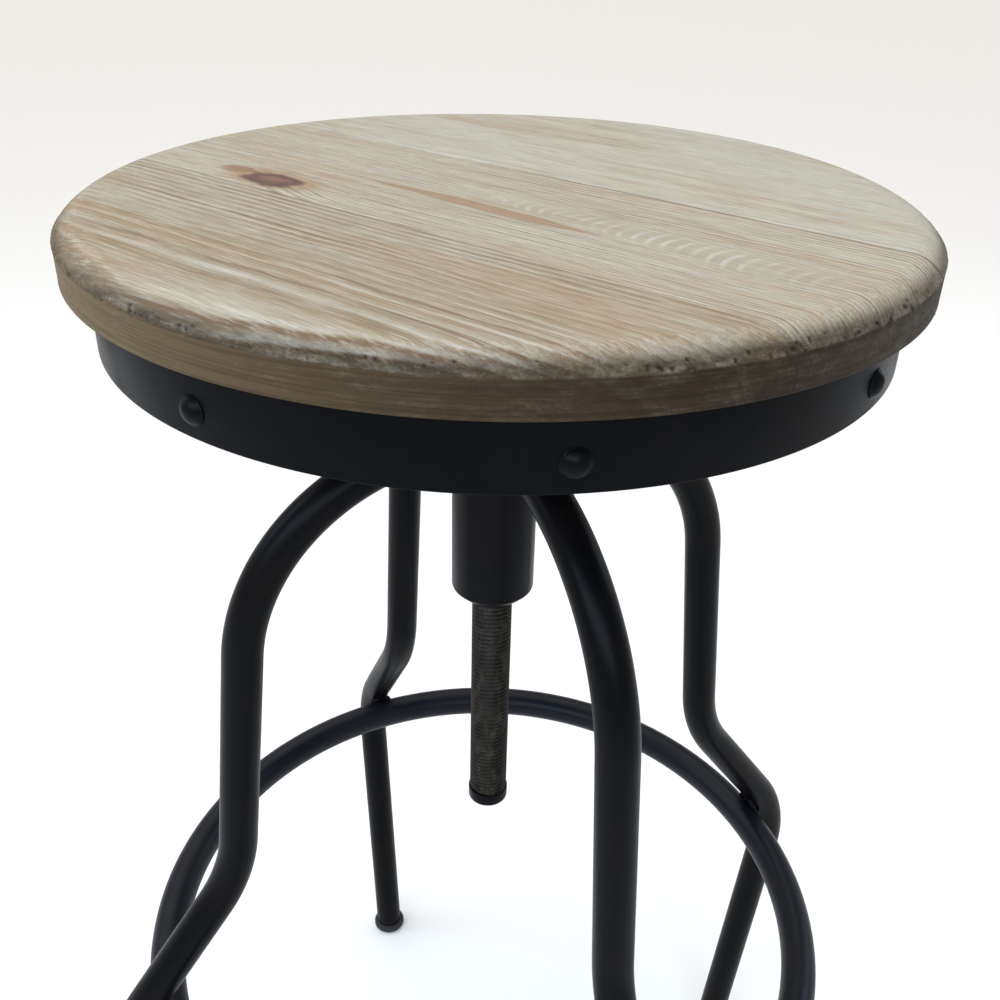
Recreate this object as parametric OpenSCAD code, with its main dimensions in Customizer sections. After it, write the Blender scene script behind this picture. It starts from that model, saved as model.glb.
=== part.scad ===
// Bar stool with a screw-adjusted round wooden seat, four bent tube legs and a footrest ring.
// Origin: on the floor, under the centre of the stool. +Z is up, -Y is the front.

/* [Seat] */
// Diameter of the wooden seat
seat_d = 345; // [290:1:420]
// Thickness of the seat boards
board_t = 20; // [19:0.5:27]
// Radius of the rounded upper edge of the seat
rim_round = 16; // [8:1:18]
// Distance from the seat's centre to the glue joint behind the middle board
seam_back = 33; // [25:1:60]
// Width of the middle board
middle_board_w = 96; // [80:1:115]
// Direction of the boards' grain, as the seat stands
seat_angle = -18; // [-90:1:90]
// Thickness of the wooden disc inside the steel band
backing_t = 23; // [16:1:24]

/* [Seat band] */
// How far the steel band is set in from the seat's edge
band_inset = 10; // [6:0.5:16]
// Height of the steel band
band_h = 29; // [26:0.5:32]
// Thickness of the band's strip
band_t = 2.5; // [1.5:0.25:4]
// Number of dome-headed nails around the band
nail_count = 8; // [4:1:16]
// Diameter of a nail's domed head
nail_head_d = 11; // [8:0.5:14]

/* [Lift screw] */
// Outside diameter of the lift screw's thread
screw_d = 20; // [16:1:24]
// Pitch of the lift screw's thread
screw_pitch = 2.5; // [2:0.5:4]
// Turns of the seat from here up to the highest position
turns_up = 52; // [30:1:60]
// Turns of the seat from here down to the lowest position
turns_down = 11; // [4:1:16]
// Diameter of the flange under the seat
flange_d = 120; // [90:1:160]

/* [Hub] */
// Outer diameter of the hub sleeve
hub_d = 40; // [36:1:48]
// Length of the hub sleeve
hub_len = 105.5; // [80:0.5:125]
// Height of the legs' axis where they leave the hub
arm_height = 550; // [460:1:660]

/* [Legs and footrest] */
// Outer diameter of the leg and footrest tube
tube_d = 19; // [16:0.5:23]
// Wall of the leg and footrest tube
tube_wall = 1.5; // [1:0.1:2.5]
// Largest distance of a leg's axis from the stool's centre
bulge_r = 210.5; // [190:0.5:253]
// Height at which a leg is furthest out
bulge_height = 206; // [170:1:250]
// Radius of the bend between the hub and the upper leg
top_bend_r = 100; // [70:1:110]
// Radius of the bend where a leg turns outward
knee_bend_r = 85; // [50:1:95]
// Radius of the bend above the footrest
bulge_bend_r = 80; // [60:1:95]
// Outward lean of the upper leg, in degrees
upper_lean = 6.5; // [3:0.5:9]
// Outward lean of the leg above the footrest, in degrees
knee_lean = 36.5; // [32:0.5:42]
// Inward lean of the leg below the footrest, in degrees
lower_lean = 5.5; // [0:0.5:8]
// How far the footrest ring lies above the height at which the legs are furthest out
ring_above_bulge = 30; // [0:1:34]
// Thickness of the floor glides
glide_t = 6; // [4:0.5:10]

/* [Hidden] */
$fn = 96;

// Fits
running_gap = 0.05;    // radial, between the lift screw and what it turns in
seated_gap = 0.05;     // between pieces that are fixed together
weld_gap = 0.1;        // between tubes before welding
end_gap = 0.5;         // left at each end of the seat's travel
glue_line = 0.2;       // between two seat boards
run_step = 0.06;       // straight runs of tube are this much slimmer than the bends, in radius
run_lap = 0.5;         // and reach this far into them

// Hub, from its top down
hub_above_arms = 20;
hub_top = arm_height + hub_above_arms;
hub_bottom = hub_top - hub_len;
hub_wall = 6;
hub_chamfer = 4.5;
nut_len = 28;

// Seat parts, stacked up from the collar that stops on the hub
flange_t = 5;
collar_d = screw_d + 14;
collar_h = 14;
collar_z = hub_top + turns_down * screw_pitch + end_gap;
flange_z = collar_z + collar_h;
backing_z = flange_z + flange_t;
board_z = backing_z + backing_t;
band_z = board_z - band_h;

band_d = seat_d - 2 * band_inset;

// The rounded edge is struck from a slightly larger circle, which leaves a crisp line above the rim wall
rim_overshoot = 3;

// Screw below the hub
stop_h = 8;
stop_d = screw_d + 1.2;
stop_floor_t = 1.5;
stop_z = hub_bottom - turns_up * screw_pitch - end_gap - stop_h;
spigot_d = 0.7 * screw_d;
screw_tip_z = stop_z + stop_floor_t + seated_gap;

// Nails and wood screws
nail_shank_d = 4;
nail_shank_len = 14;
nail_head_h = 3.2;
nail_above_backing = 4.5;
first_nail = seat_angle + 1.5;
flange_screw_d = 5;
flange_screw_head_d = 10;
flange_screw_head_h = 2.6;
flange_screw_len = 16;
flange_screw_circle = 0.75 * flange_d;
flange_screw_count = 4;

// Centre line of a leg, in the plane [distance from the centre, height]
arm_r = hub_d / 2 + 5;
top_bend_end = [arm_r + top_bend_r * cos(upper_lean), arm_height - top_bend_r * (1 - sin(upper_lean))];
bulge_centre = [bulge_r - bulge_bend_r, bulge_height];
bulge_start = bulge_centre + bulge_bend_r * [cos(knee_lean), sin(knee_lean)];
bulge_end = bulge_centre + bulge_bend_r * [cos(lower_lean), -sin(lower_lean)];
knee_chord = knee_bend_r * [cos(upper_lean) - cos(knee_lean), sin(upper_lean) - sin(knee_lean)];
leg_rest = bulge_start - top_bend_end - knee_chord;
knee_turn = knee_lean - upper_lean;
upper_len = -(leg_rest * [cos(knee_lean), sin(knee_lean)]) / sin(knee_turn);
slant_len = (leg_rest * [cos(upper_lean), sin(upper_lean)]) / sin(knee_turn);
lower_len = bulge_end[1] / cos(lower_lean);
foot_r = bulge_end[0] - lower_len * sin(lower_lean);

// The footrest ring lies inside the bulge of the legs and touches it
ring_to_bulge = bulge_bend_r - tube_d - weld_gap;
ring_height = bulge_height + ring_above_bulge;
ring_r = bulge_centre[0] + sqrt(pow(ring_to_bulge, 2) - pow(ring_above_bulge, 2));
ring_side = asin(ring_above_bulge / ring_to_bulge);

// Floor glides
glide_d = tube_d + 5;
glide_plug_len = 22;
glide_edge = 1.2;

// Legs stand on the diagonals: front right, back right, back left, front left
FRONT_RIGHT = -45;
BACK_RIGHT = 45;
BACK_LEFT = 135;
FRONT_LEFT = 225;

wood = "#b9a283";
steel = "#24262b";
bare_steel = "#6b6259";
rubber = "#1b1b1b";

// ---------- seat ----------

module seat_disc() {
    rim_r = seat_d / 2;
    arc_r = rim_r + rim_overshoot - rim_round;
    translate([0, 0, board_z])
        rotate_extrude()
            intersection() {
                square([rim_r, board_t]);
                union() {
                    square([arc_r, board_t]);
                    square([rim_r, board_t - rim_round]);
                    translate([arc_r, board_t - rim_round]) circle(r = rim_round);
                }
            }
}

// One seat board, between two lines across the seat
module seat_board(from_y, to_y) {
    rotate(seat_angle)
        intersection() {
            seat_disc();
            translate([-seat_d, from_y, board_z - 1]) cube([2 * seat_d, to_y - from_y, board_t + 2]);
        }
}

module seat_board_back() {
    color(wood) seat_board(seam_back + glue_line / 2, seat_d);
}

module seat_board_middle() {
    color(wood) seat_board(seam_back - middle_board_w + glue_line / 2, seam_back - glue_line / 2);
}

module seat_board_front() {
    color(wood) seat_board(-seat_d, seam_back - middle_board_w - glue_line / 2);
}

// Places its children at each nail, pointing inward from the band's outer face
module at_nails() {
    for (i = [0:nail_count - 1])
        rotate(first_nail + i * 360 / nail_count)
            translate([band_d / 2, 0, backing_z + nail_above_backing])
                rotate([0, -90, 0])
                    children();
}

module at_flange_screws() {
    for (i = [0:flange_screw_count - 1])
        rotate(seat_angle + 45 + i * 360 / flange_screw_count)
            translate([flange_screw_circle / 2, 0, flange_z])
                children();
}

module seat_backing_disc() {
    color(wood)
        difference() {
            translate([0, 0, backing_z]) cylinder(d = band_d - 2 * band_t - 2 * seated_gap, h = backing_t);
            at_nails() cylinder(d = nail_shank_d + 2 * seated_gap, h = nail_shank_len + 1);
            at_flange_screws() cylinder(d = flange_screw_d + 2 * seated_gap, h = flange_screw_len + 1);
        }
}

module seat_band() {
    color(steel)
        difference() {
            translate([0, 0, band_z]) cylinder(d = band_d, h = band_h);
            translate([0, 0, band_z - 1]) cylinder(d = band_d - 2 * band_t, h = band_h + 2);
            at_nails() cylinder(d = nail_shank_d + 2 * seated_gap, h = 4 * band_t, center = true);
        }
}

// Dome of the given height over a circle of diameter d, pointing up
module dome(d, h) {
    ball_r = (d * d / 4 + h * h) / (2 * h);
    intersection() {
        translate([0, 0, h - ball_r]) sphere(r = ball_r);
        cylinder(d = d, h = h);
    }
}

module band_nails() {
    // the head's flat back stands just clear of the curved band
    head_lift = seated_gap;
    color(steel)
        at_nails() {
            translate([0, 0, -head_lift]) cylinder(d = nail_shank_d, h = nail_shank_len + head_lift);
            translate([0, 0, -head_lift]) mirror([0, 0, 1]) dome(nail_head_d, nail_head_h);
        }
}

module seat_flange() {
    color(steel)
        difference() {
            translate([0, 0, flange_z]) cylinder(d = flange_d, h = flange_t);
            translate([0, 0, flange_z - 1]) cylinder(d = screw_d + 2 * seated_gap, h = flange_t + 2);
            at_flange_screws() cylinder(d = flange_screw_d + 1, h = 3 * flange_t, center = true);
        }
}

module flange_screws() {
    color(bare_steel)
        at_flange_screws() {
            cylinder(d = flange_screw_d, h = flange_screw_len);
            mirror([0, 0, 1]) dome(flange_screw_head_d, flange_screw_head_h);
        }
}

// ---------- lift screw ----------

module spindle_collar() {
    color(steel)
        translate([0, 0, collar_z])
            difference() {
                cylinder(d = collar_d, h = collar_h);
                translate([0, 0, -1]) cylinder(d = screw_d + 2 * seated_gap, h = collar_h + 2);
            }
}

// Weld between the collar and the flange
module spindle_welds() {
    weld_leg = 5;
    color(steel)
        translate([0, 0, flange_z])
            rotate_extrude()
                polygon([
                    [collar_d / 2 + seated_gap, -weld_leg],
                    [collar_d / 2 + weld_leg, -seated_gap],
                    [collar_d / 2 + seated_gap, -seated_gap],
                ]);
}

module lift_screw() {
    top_chamfer = 1;
    stop_top = stop_z + stop_h;
    color(bare_steel) {
        translate([0, 0, stop_top + seated_gap])
            cylinder(d = screw_d, h = backing_z - top_chamfer - stop_top - seated_gap);
        translate([0, 0, backing_z - top_chamfer])
            cylinder(d1 = screw_d, d2 = screw_d - 2 * top_chamfer, h = top_chamfer - seated_gap);
        translate([0, 0, screw_tip_z])
            cylinder(d = spigot_d, h = stop_top + seated_gap - screw_tip_z);
    }
}

// Cap on the screw's lower end, too wide to pass through the hub
module screw_end_stop() {
    edge = 0.8;
    color(steel)
        translate([0, 0, stop_z])
            difference() {
                union() {
                    cylinder(d1 = stop_d - 2 * edge, d2 = stop_d, h = edge);
                    translate([0, 0, edge]) cylinder(d = stop_d, h = stop_h - edge);
                }
                translate([0, 0, stop_floor_t]) cylinder(d = spigot_d + 2 * running_gap, h = stop_h);
            }
}

// ---------- hub ----------

module hub_sleeve() {
    color(steel)
        difference() {
            union() {
                translate([0, 0, hub_bottom])
                    cylinder(d1 = hub_d - 2 * hub_chamfer, d2 = hub_d, h = hub_chamfer);
                translate([0, 0, hub_bottom + hub_chamfer]) cylinder(d = hub_d, h = hub_len - hub_chamfer);
            }
            translate([0, 0, hub_bottom - 1]) cylinder(d = hub_d - 2 * hub_wall, h = hub_len + 2);
        }
}

// Threaded nut pressed into one end of the sleeve
module hub_nut(z) {
    color(bare_steel)
        translate([0, 0, z])
            difference() {
                cylinder(d = hub_d - 2 * hub_wall - 2 * seated_gap, h = nut_len);
                translate([0, 0, -1]) cylinder(d = screw_d + 2 * running_gap, h = nut_len + 2);
            }
}

module hub_nut_upper() {
    hub_nut(hub_top - nut_len);
}

module hub_nut_lower() {
    hub_nut(hub_bottom);
}

module hub_outline(gap) {
    translate([0, 0, hub_bottom]) cylinder(d = hub_d + 2 * gap, h = hub_len);
}

// ---------- legs ----------

// A straight length of round bar along +X, whose ends lie inside the bends; its children start at its end
module run(d, len) {
    translate([-run_lap, 0, 0]) rotate([0, 90, 0]) cylinder(d = d - 2 * run_step, h = len + 2 * run_lap);
    translate([len, 0, 0]) children();
}

// A bend that starts along +X and turns down, or up where the angle is negative
module bend(d, r, angle) {
    side = sign(angle);
    translate([0, 0, -side * r]) {
        rotate([90, 0, 0])
            rotate_extrude(angle = abs(angle), start = side > 0 ? 90 - angle : -90)
                translate([r, 0]) circle(d = d);
        rotate([0, angle, 0]) translate([0, 0, side * r]) children();
    }
}

module leg_bar(d) {
    translate([0, 0, arm_height])
        run(d, arm_r)
            bend(d, top_bend_r, 90 - upper_lean)
                run(d, upper_len)
                    bend(d, knee_bend_r, -knee_turn)
                        run(d, slant_len)
                            bend(d, bulge_bend_r, knee_lean + lower_lean)
                                run(d, lower_len);
}

module leg(angle) {
    floor_cut = 4 * tube_d;
    color(steel)
        rotate(angle)
            difference() {
                leg_bar(tube_d);
                leg_bar(tube_d - 2 * tube_wall);
                hub_outline(weld_gap);
                translate([foot_r, 0, glide_t - floor_cut / 2]) cube(floor_cut, center = true);
            }
}

module front_right_leg() {
    leg(FRONT_RIGHT);
}

module back_right_leg() {
    leg(BACK_RIGHT);
}

module back_left_leg() {
    leg(BACK_LEFT);
}

module front_left_leg() {
    leg(FRONT_LEFT);
}

module at_legs() {
    for (angle = [FRONT_RIGHT, BACK_RIGHT, BACK_LEFT, FRONT_LEFT]) rotate(angle) children();
}

// Weld bead around each leg where it meets the sleeve
module hub_welds() {
    bead_r = 3;
    color(steel)
        at_legs()
            difference() {
                translate([hub_d / 2, 0, arm_height])
                    rotate([0, 90, 0])
                        rotate_extrude() translate([tube_d / 2, 0]) circle(r = bead_r);
                translate([0, 0, arm_height])
                    rotate([0, 90, 0]) cylinder(d = tube_d + 2 * seated_gap, h = hub_d);
                hub_outline(seated_gap);
            }
}

// ---------- footrest ----------

module footrest_ring() {
    color(steel)
        translate([0, 0, ring_height])
            rotate_extrude()
                translate([ring_r, 0])
                    difference() {
                        circle(d = tube_d);
                        circle(d = tube_d - 2 * tube_wall);
                    }
}

// Weld bead around the spot where each leg touches the ring, sunk into both tubes
module ring_welds() {
    bead_r = 2.2;
    bead_circle_r = 6;
    color(steel)
        at_legs()
            translate([bulge_centre[0], 0, bulge_centre[1]])
                rotate([0, 90 - ring_side, 0])
                    translate([0, 0, ring_to_bulge + (tube_d + weld_gap) / 2])
                        rotate_extrude() translate([bead_circle_r, 0]) circle(r = bead_r);
}

// ---------- floor glides ----------

// Flat glide with a plug that follows the leg's lean into the tube
module glide(angle) {
    plug_d = tube_d - 2 * (tube_wall + run_step + seated_gap);
    plug_low = 0.5 * glide_t;
    color(rubber)
        rotate(angle)
            translate([foot_r, 0, 0]) {
                cylinder(d1 = glide_d - 2 * glide_edge, d2 = glide_d, h = glide_edge);
                translate([0, 0, glide_edge]) cylinder(d = glide_d, h = glide_t - seated_gap - glide_edge);
                rotate([0, lower_lean, 0])
                    translate([0, 0, plug_low]) cylinder(d = plug_d, h = glide_plug_len);
            }
}

module front_right_glide() {
    glide(FRONT_RIGHT);
}

module back_right_glide() {
    glide(BACK_RIGHT);
}

module back_left_glide() {
    glide(BACK_LEFT);
}

module front_left_glide() {
    glide(FRONT_LEFT);
}

seat_board_back();
seat_board_middle();
seat_board_front();
seat_backing_disc();
seat_band();
band_nails();
seat_flange();
flange_screws();
spindle_collar();
spindle_welds();
lift_screw();
screw_end_stop();
hub_sleeve();
hub_nut_upper();
hub_nut_lower();
hub_welds();
front_right_leg();
back_right_leg();
back_left_leg();
front_left_leg();
footrest_ring();
ring_welds();
front_right_glide();
back_right_glide();
back_left_glide();
front_left_glide();
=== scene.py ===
import math

import bmesh
import bpy
import numpy as np
from mathutils import Matrix, Vector


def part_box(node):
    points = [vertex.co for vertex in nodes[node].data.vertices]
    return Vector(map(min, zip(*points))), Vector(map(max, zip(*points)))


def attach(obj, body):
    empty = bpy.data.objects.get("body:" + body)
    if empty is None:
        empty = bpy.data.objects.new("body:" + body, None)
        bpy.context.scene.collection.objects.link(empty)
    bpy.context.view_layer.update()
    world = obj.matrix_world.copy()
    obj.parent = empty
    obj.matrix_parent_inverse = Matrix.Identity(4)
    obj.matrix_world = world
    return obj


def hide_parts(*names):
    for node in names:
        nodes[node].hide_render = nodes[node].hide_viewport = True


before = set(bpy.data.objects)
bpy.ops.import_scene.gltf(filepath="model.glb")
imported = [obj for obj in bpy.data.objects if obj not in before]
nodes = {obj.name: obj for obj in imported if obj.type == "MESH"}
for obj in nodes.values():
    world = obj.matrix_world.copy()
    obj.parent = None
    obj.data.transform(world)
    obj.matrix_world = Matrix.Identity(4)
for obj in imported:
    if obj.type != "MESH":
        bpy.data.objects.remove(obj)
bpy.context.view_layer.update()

# How finely round things are divided
SEAT_SIDES, BAND_SIDES, HUB_SIDES, TUBE_SIDES, SCREW_SIDES = 1080, 288, 96, 44, 56
RING_STEPS = 180

# Sizes that the CAD model has, in metres
SEAT_R = 0.1725
RIM_ROUND = 0.016
RIM_OVERSHOOT = 0.003
SEAM_BACK = 0.033
SEAM_FRONT = -0.063
GLUE_LINE = 0.0002
SEAT_ANGLE = math.radians(-18)
TUBE_R = 0.0095
HUB_R = 0.020
HUB_BORE = 0.014
ARM_Z = 0.550
HUB_CHAMFER = 0.0045
TOP_BEND_R, KNEE_BEND_R, BULGE_BEND_R = 0.100, 0.085, 0.080
UPPER_LEAN, KNEE_LEAN, LOWER_LEAN = (math.radians(a) for a in (6.5, 36.5, 5.5))
BULGE_R, BULGE_Z = 0.2105, 0.206
RING_UP = 0.030
GLIDE_T = 0.006
BAND_T = 0.0025
PITCH = 0.0025
THREAD_DEPTH = 0.00125
NAIL_COUNT = 8
NAIL_HEAD_R, NAIL_HEAD_H = 0.0055, 0.0032
WELD_OUT = 0.0006
RING_WELD_R = 0.0066
FIRST_NAIL = SEAT_ANGLE + math.radians(1.5)
NAIL_ABOVE_BACKING = 0.0045
LEGS = {"front_right": -45, "back_right": 45, "back_left": 135, "front_left": 225}

seat_low, seat_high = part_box("seat_board_middle")
BOARD_Z, TOP_Z = seat_low.z, seat_high.z
LINE_Z = TOP_Z - RIM_ROUND + math.sqrt(RIM_ROUND ** 2 - (RIM_ROUND - RIM_OVERSHOOT) ** 2)


# ---------- noise for shapes ----------

def lattice(ix, iy, iz, seed):
    """A repeatable random number from -1 to 1 for each whole-number point."""
    h = (ix * 374761393 + iy * 668265263 + iz * 2147483647 + seed * 1274126177) & 0xFFFFFFFF
    h = ((h ^ (h >> 13)) * 1274126177) & 0xFFFFFFFF
    h = h ^ (h >> 16)
    return (h & 0xFFFF) / 32767.5 - 1.0


def noise3(x, y, z, seed=0):
    """Smooth noise from -1 to 1 whose bumps are about one unit apart."""
    fx, fy, fz = np.floor(x), np.floor(y), np.floor(z)
    tx, ty, tz = x - fx, y - fy, z - fz
    tx, ty, tz = (t * t * (3 - 2 * t) for t in (tx, ty, tz))
    ix, iy, iz = (f.astype(np.int64) for f in (fx, fy, fz))
    out = 0
    for dx, wx in ((0, 1 - tx), (1, tx)):
        for dy, wy in ((0, 1 - ty), (1, ty)):
            for dz, wz in ((0, 1 - tz), (1, tz)):
                out = out + wx * wy * wz * lattice(ix + dx, iy + dy, iz + dz, seed)
    return out


def step(low, high, value):
    """A smooth change from 0 at low to 1 at high."""
    t = np.clip((value - low) / (high - low), 0, 1)
    return t * t * (3 - 2 * t)


# ---------- meshes ----------

def new_object(name, bm, material, smooth=True):
    """Makes an object of a bmesh, which is used up."""
    bmesh.ops.recalc_face_normals(bm, faces=bm.faces)
    mesh = bpy.data.meshes.new(name)
    bm.to_mesh(mesh)
    bm.free()
    if smooth:
        mesh.polygons.foreach_set("use_smooth", [True] * len(mesh.polygons))
    obj = bpy.data.objects.new(name, mesh)
    bpy.context.scene.collection.objects.link(obj)
    mesh.materials.append(material)
    return obj


def softened(profile, radius, closed=True, parts=4):
    """A profile whose corners are rounded; the ends of an open one stay."""
    out, n = [], len(profile)
    for i, p in enumerate(profile):
        if not closed and i in (0, n - 1):
            out.append(p)
            continue
        p, a, b = Vector(p), Vector(profile[i - 1]), Vector(profile[(i + 1) % n])
        into, away = (a - p), (b - p)
        size = min(radius, 0.45 * into.length, 0.45 * away.length)
        start, end = p + into.normalized() * size, p + away.normalized() * size
        for k in range(parts + 1):
            t = k / parts
            out.append(tuple((1 - t) ** 2 * start + 2 * t * (1 - t) * p + t * t * end))
    return out


def revolve(bm, profile, segments, closed=True, place=None):
    """Turns a profile of (radius, height) about Z; points on the axis become one vertex."""
    rows = []
    for r, z in profile:
        if r < 1e-7:
            rows.append([bm.verts.new((0, 0, z))] * segments)
        else:
            rows.append([bm.verts.new((r * math.cos(t), r * math.sin(t), z))
                         for t in (2 * math.pi * i / segments for i in range(segments))])
    pairs = list(zip(rows, rows[1:])) + ([(rows[-1], rows[0])] if closed else [])
    for a, b in pairs:
        for i in range(segments):
            j = (i + 1) % segments
            corners = []
            for v in (a[i], a[j], b[j], b[i]):
                if v not in corners:
                    corners.append(v)
            if len(corners) > 2:
                bm.faces.new(corners)
    if place is not None:
        made = {v for row in rows for v in row}
        bmesh.ops.transform(bm, matrix=place, verts=list(made))
    return rows


def circle(radius, height, count):
    """Points of a level circle about Z."""
    return [(radius * math.cos(2 * math.pi * i / count), radius * math.sin(2 * math.pi * i / count), height)
            for i in range(count)]


def sweep(bm, path, radius, segments=40, closed=False, end_height=None):
    """A round bar along a path. radius may be a list; end_height cuts the last end level."""
    path = [Vector(p) for p in path]
    n = len(path)
    radii = radius if isinstance(radius, (list, tuple)) else [radius] * n
    tangents = []
    for i in range(n):
        before = path[i - 1] if (i or closed) else path[i]
        after = path[(i + 1) % n] if (i < n - 1 or closed) else path[i]
        tangents.append((after - before).normalized())
    side = tangents[0].orthogonal().normalized()
    frames = []
    for t in tangents:
        side = (side - t * side.dot(t)).normalized()
        frames.append((side, t.cross(side)))
    if closed:
        # spreads the twist that is left after one round over the whole path
        first, last = frames[0][0], frames[-1][0]
        last = (last - tangents[0] * last.dot(tangents[0])).normalized()
        twist = math.atan2(last.cross(first).dot(tangents[0]), last.dot(first))
        frames = [(Matrix.Rotation(twist * i / n, 3, t) @ a, Matrix.Rotation(twist * i / n, 3, t) @ b)
                  for i, ((a, b), t) in enumerate(zip(frames, tangents))]
    rings = []
    for p, r, (a, b) in zip(path, radii, frames):
        rings.append([bm.verts.new(p + r * (math.cos(t) * a + math.sin(t) * b))
                      for t in (2 * math.pi * i / segments for i in range(segments))])
    if end_height is not None:
        for v in rings[-1]:
            v.co += tangents[-1] * ((end_height - v.co.z) / tangents[-1].z)
    pairs = list(zip(rings, rings[1:])) + ([(rings[-1], rings[0])] if closed else [])
    for a, b in pairs:
        for i in range(segments):
            j = (i + 1) % segments
            bm.faces.new((a[i], a[j], b[j], b[i]))
    if not closed:
        for ring in (rings[0], rings[-1]):
            face = bm.faces.new(ring)
            face.smooth = False
            for e in face.edges:
                e.smooth = False


# ---------- materials ----------

def rgb(r, g, b):
    """Linear colour from screen values of 0 to 255."""
    def one(v):
        v /= 255
        return v / 12.92 if v <= 0.04045 else ((v + 0.055) / 1.055) ** 2.4
    return (one(r), one(g), one(b), 1.0)


class Look:
    """A material of nodes. Its positions are in millimetres and turn about Z with what it is made for."""

    def __init__(self, name, turn=0.0):
        self.material = bpy.data.materials.new(name)
        self.material.use_nodes = True
        self.tree = self.material.node_tree
        self.shader = self.tree.nodes["Principled BSDF"]
        coordinates = self.tree.nodes.new("ShaderNodeTexCoord").outputs["Object"]
        turned = self.node("ShaderNodeVectorRotate", {"Vector": coordinates, "Angle": -turn},
                           rotation_type="Z_AXIS")
        self.at = self.vector("SCALE", turned.outputs[0], scale=1000.0)

    def put(self, socket, value):
        if isinstance(value, bpy.types.NodeSocket):
            self.tree.links.new(value, socket)
        else:
            socket.default_value = value

    def node(self, kind, inputs=(), **settings):
        made = self.tree.nodes.new(kind)
        for key, value in settings.items():
            setattr(made, key, value)
        for key, value in dict(inputs).items():
            self.put(made.inputs[key], value)
        return made

    def vector(self, operation, a, b=None, scale=None):
        made = self.node("ShaderNodeVectorMath", {0: a}, operation=operation)
        if b is not None:
            self.put(made.inputs[1], b)
        if scale is not None:
            self.put(made.inputs["Scale"], scale)
        return made.outputs["Vector"]

    def math(self, operation, *values, clamp=False):
        made = self.node("ShaderNodeMath", enumerate(values), operation=operation)
        made.use_clamp = clamp
        return made.outputs[0]

    def plus(self, a, b):
        return self.math("ADD", a, b)

    def minus(self, a, b):
        return self.math("SUBTRACT", a, b)

    def times(self, a, b):
        return self.math("MULTIPLY", a, b)

    def oval(self, x, y, middle, half):
        """0 in the middle of an oval and 1 on its edge."""
        along = self.times(self.minus(x, middle[0]), 1 / half[0])
        aside = self.times(self.minus(y, middle[1]), 1 / half[1])
        return self.plus(self.times(along, along), self.times(aside, aside))

    def wobble(self, noise, amount):
        """Noise of 0 to 1 as a shift to both sides."""
        return self.times(self.minus(noise, 0.5), amount)

    def parts(self, vector):
        made = self.node("ShaderNodeSeparateXYZ", {0: vector})
        return made.outputs[0], made.outputs[1], made.outputs[2]

    def noise(self, stretch, detail=2.0, roughness=0.5, shift=(0.0, 0.0, 0.0)):
        """Noise from 0 to 1; stretch is bumps per millimetre along X, Y and Z."""
        where = self.vector("MULTIPLY", self.at, stretch)
        where = self.vector("ADD", where, shift)
        return self.node("ShaderNodeTexNoise", {"Vector": where, "Scale": 1.0, "Detail": detail,
                                                "Roughness": roughness}).outputs[0]

    def range(self, value, low, high, to_low=0.0, to_high=1.0, smooth=True):
        made = self.node("ShaderNodeMapRange", {0: value, 1: low, 2: high, 3: to_low, 4: to_high})
        made.interpolation_type = "SMOOTHSTEP" if smooth else "LINEAR"
        return made.outputs[0]

    def mix(self, factor, a, b):
        made = self.node("ShaderNodeMix", {0: factor, 6: a, 7: b}, data_type="RGBA")
        return made.outputs[2]

    def bump(self, height, distance_mm, strength=1.0, normal=None):
        made = self.node("ShaderNodeBump", {"Height": height, "Distance": distance_mm / 1000,
                                            "Strength": strength})
        if normal is not None:
            self.put(made.inputs["Normal"], normal)
        return made.outputs[0]

    def finish(self, colour, roughness, normal=None, gloss=0.5):
        self.put(self.shader.inputs["Base Color"], colour)
        self.put(self.shader.inputs["Roughness"], roughness)
        if normal is not None:
            self.put(self.shader.inputs["Normal"], normal)
        self.shader.inputs["Specular IOR Level"].default_value = gloss
        return self.material


# Marks on the middle board: places and half sizes in millimetres along and across the grain
KNOT_AT, KNOT_HALF = (-82.0, -50.0), (32.0, 15.0)
CORE_AT, CORE_HALF = (-80.0, -51.0), (15.0, 8.5)
TAIL_AT, TAIL_HALF = (-105.0, -48.0), (10.0, 6.5)
STREAK_Y = -24.0
MARKS_AT, MARKS_SLOPE, MARKS_PITCH = (66.0, -14.0), 0.078, 6.4


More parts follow.
